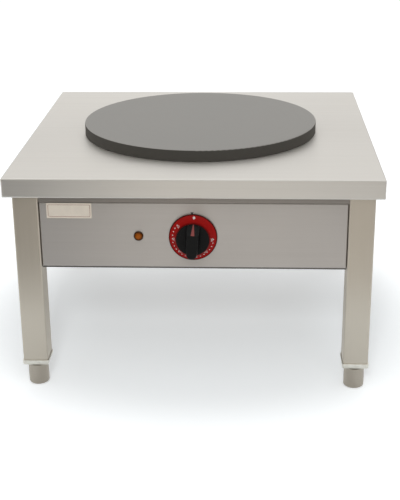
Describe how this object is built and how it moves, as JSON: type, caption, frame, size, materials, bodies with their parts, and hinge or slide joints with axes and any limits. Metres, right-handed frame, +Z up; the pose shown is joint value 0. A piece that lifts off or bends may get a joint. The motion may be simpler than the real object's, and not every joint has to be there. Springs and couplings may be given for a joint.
{
  "type": "electric crepe maker",
  "caption": "Round electric griddle plate on a folded stainless worktop with a box below, one control knob and square legs on screw feet.",
  "frame": {"origin": "on the floor, below the middle of the worktop", "axes": "+X to the right seen from the front, +Y to the back, +Z up; the control panel faces -Y"},
  "size_m": [0.582, 0.615, 0.379],
  "materials": {
    "brushed_stainless": "satin, fine grain along each piece",
    "panel_stainless": "satin, grain along the width",
    "rail_steel": "mill finish",
    "cast_steel_collar": "satin",
    "foot_steel": "turned satin",
    "sole_rubber": "matte",
    "griddle_iron": "fine-turned, oiled grey",
    "fibre": "pressed ceramic fibre",
    "element_sheath": "dark heat-tinted",
    "pan_steel": "mill finish",
    "zinc_fastener": "bright zinc",
    "phenolic": "moulded",
    "copper_tube": "drawn",
    "black_plastic": "satin moulded",
    "red_plastic": "satin moulded",
    "red_pointer": "satin",
    "amber_lens": "faceted, clear amber",
    "white_plastic": "moulded",
    "brass": "plain",
    "wire_insulation": "silicone",
    "label_face": "blank, satin"
  },
  "bodies": {
    "frame": {"worktop": "brushed_stainless", "leg_front_left": "brushed_stainless", "leg_front_right": "brushed_stainless", "leg_rear_left": "brushed_stainless", "leg_rear_right": "brushed_stainless", "leg_inserts": "cast_steel_collar", "front_rail": "rail_steel", "rear_rail": "rail_steel", "side_rails": "rail_steel", "control_panel": "panel_stainless", "rear_panel": "panel_stainless", "left_panel": "panel_stainless", "right_panel": "panel_stainless", "base_cover": "rail_steel", "panel_screws": "zinc_fastener", "base_cover_screws": "zinc_fastener", "griddle_plate": "griddle_iron", "plate_gasket": "fibre", "plate_studs": "zinc_fastener", "plate_nuts": "zinc_fastener", "element_clamp": "pan_steel", "inner_element": "element_sheath", "outer_element": "element_sheath", "insulation_pad": "fibre", "reflector_pan": "pan_steel", "pan_fixings": "zinc_fastener", "support_bars": "rail_steel", "support_bar_bolts": "zinc_fastener", "thermostat_body": "phenolic", "thermostat_bracket": "zinc_fastener", "thermostat_screws": "zinc_fastener", "thermostat_bulb": "copper_tube", "bulb_clip": "pan_steel", "thermostat_capillary": "copper_tube", "lamp_bezel": "black_plastic", "lamp_lens": "amber_lens", "lamp_body": "white_plastic", "lamp_nut": "white_plastic", "terminal_block": "white_plastic", "terminal_screws": "brass", "wiring": "wire_insulation", "cable_gland": "black_plastic", "gland_cap": "black_plastic", "gland_seal": "sole_rubber", "gland_locknut": "black_plastic", "earth_stud": "brass", "label_plate": "label_face"},
    "knob": {"thermostat_shaft": "zinc_fastener", "knob_skirt": "red_plastic", "knob_grip": "black_plastic", "knob_pointer": "red_pointer"},
    "sole_fl": {"foot_sole_fl": "sole_rubber"},
    "foot_fl": {"foot_fl": "foot_steel"},
    "sole_fr": {"foot_sole_fr": "sole_rubber"},
    "foot_fr": {"foot_fr": "foot_steel"},
    "sole_rl": {"foot_sole_rl": "sole_rubber"},
    "foot_rl": {"foot_rl": "foot_steel"},
    "sole_rr": {"foot_sole_rr": "sole_rubber"},
    "foot_rr": {"foot_rr": "foot_steel"}
  },
  "joints": [
    {"name": "knob_turn", "type": "hinge", "parent": "frame", "child": "knob", "pos_m": [0, -0.276, 0.26275], "axis": [0, 1, 0], "range_deg": [-3.5, 266.5]},
    {"name": "foot_fl_travel", "type": "slide", "parent": "frame", "child": "sole_fl", "axis": [0, 0, -1], "range_m": [0, 0.015]},
    {"name": "foot_fl_turn", "type": "hinge", "parent": "sole_fl", "child": "foot_fl", "pos_m": [-0.25825, -0.258, 0], "axis": [0, 0, -1], "range_deg": [0, 3600]},
    {"name": "foot_fr_travel", "type": "slide", "parent": "frame", "child": "sole_fr", "axis": [0, 0, -1], "range_m": [0, 0.015]},
    {"name": "foot_fr_turn", "type": "hinge", "parent": "sole_fr", "child": "foot_fr", "pos_m": [0.25825, -0.258, 0], "axis": [0, 0, -1], "range_deg": [0, 3600]},
    {"name": "foot_rl_travel", "type": "slide", "parent": "frame", "child": "sole_rl", "axis": [0, 0, -1], "range_m": [0, 0.015]},
    {"name": "foot_rl_turn", "type": "hinge", "parent": "sole_rl", "child": "foot_rl", "pos_m": [-0.25825, 0.258, 0], "axis": [0, 0, -1], "range_deg": [0, 3600]},
    {"name": "foot_rr_travel", "type": "slide", "parent": "frame", "child": "sole_rr", "axis": [0, 0, -1], "range_m": [0, 0.015]},
    {"name": "foot_rr_turn", "type": "hinge", "parent": "sole_rr", "child": "foot_rr", "pos_m": [0.25825, 0.258, 0], "axis": [0, 0, -1], "range_deg": [0, 3600]}
  ],
  "couplings": [
    {"joint": "foot_fl_turn", "follows": "foot_fl_travel", "rad_per_m": 4188.8},
    {"joint": "foot_fr_turn", "follows": "foot_fr_travel", "rad_per_m": 4188.8},
    {"joint": "foot_rl_turn", "follows": "foot_rl_travel", "rad_per_m": 4188.8},
    {"joint": "foot_rr_turn", "follows": "foot_rr_travel", "rad_per_m": 4188.8}
  ]
}
